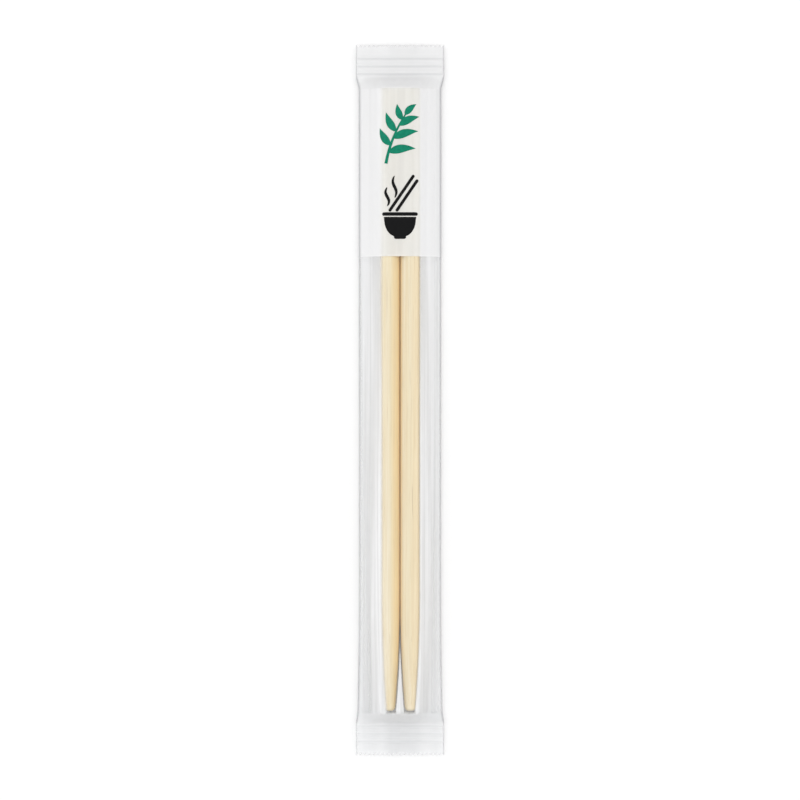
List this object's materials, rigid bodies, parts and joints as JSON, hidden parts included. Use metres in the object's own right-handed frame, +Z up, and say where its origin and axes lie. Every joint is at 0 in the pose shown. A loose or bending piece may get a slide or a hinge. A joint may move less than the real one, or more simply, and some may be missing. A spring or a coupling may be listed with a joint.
{
  "type": "wrapped pair of bamboo chopsticks",
  "caption": "Pair of round single-use bamboo chopsticks sealed side by side in a clear film sleeve with crimped, serrated ends.",
  "frame": {"origin": "middle of the pack's footprint, on the surface that it lies on", "axes": "+Y along the pack towards the sticks' blunt heads, +Z up from the back web with its seam to the front web, +X across the pack to the right"},
  "size_m": [0.0276, 0.2234, 0.0072],
  "materials": {
    "film": "clear thin polypropylene film, frosted white over the head quarter",
    "bamboo": "bare pale bamboo, sanded smooth, with fine lengthwise fibres"
  },
  "bodies": {
    "root": {"film_sleeve": "film", "left_chopstick": "bamboo", "right_chopstick": "bamboo"}
  },
  "joints": []
}
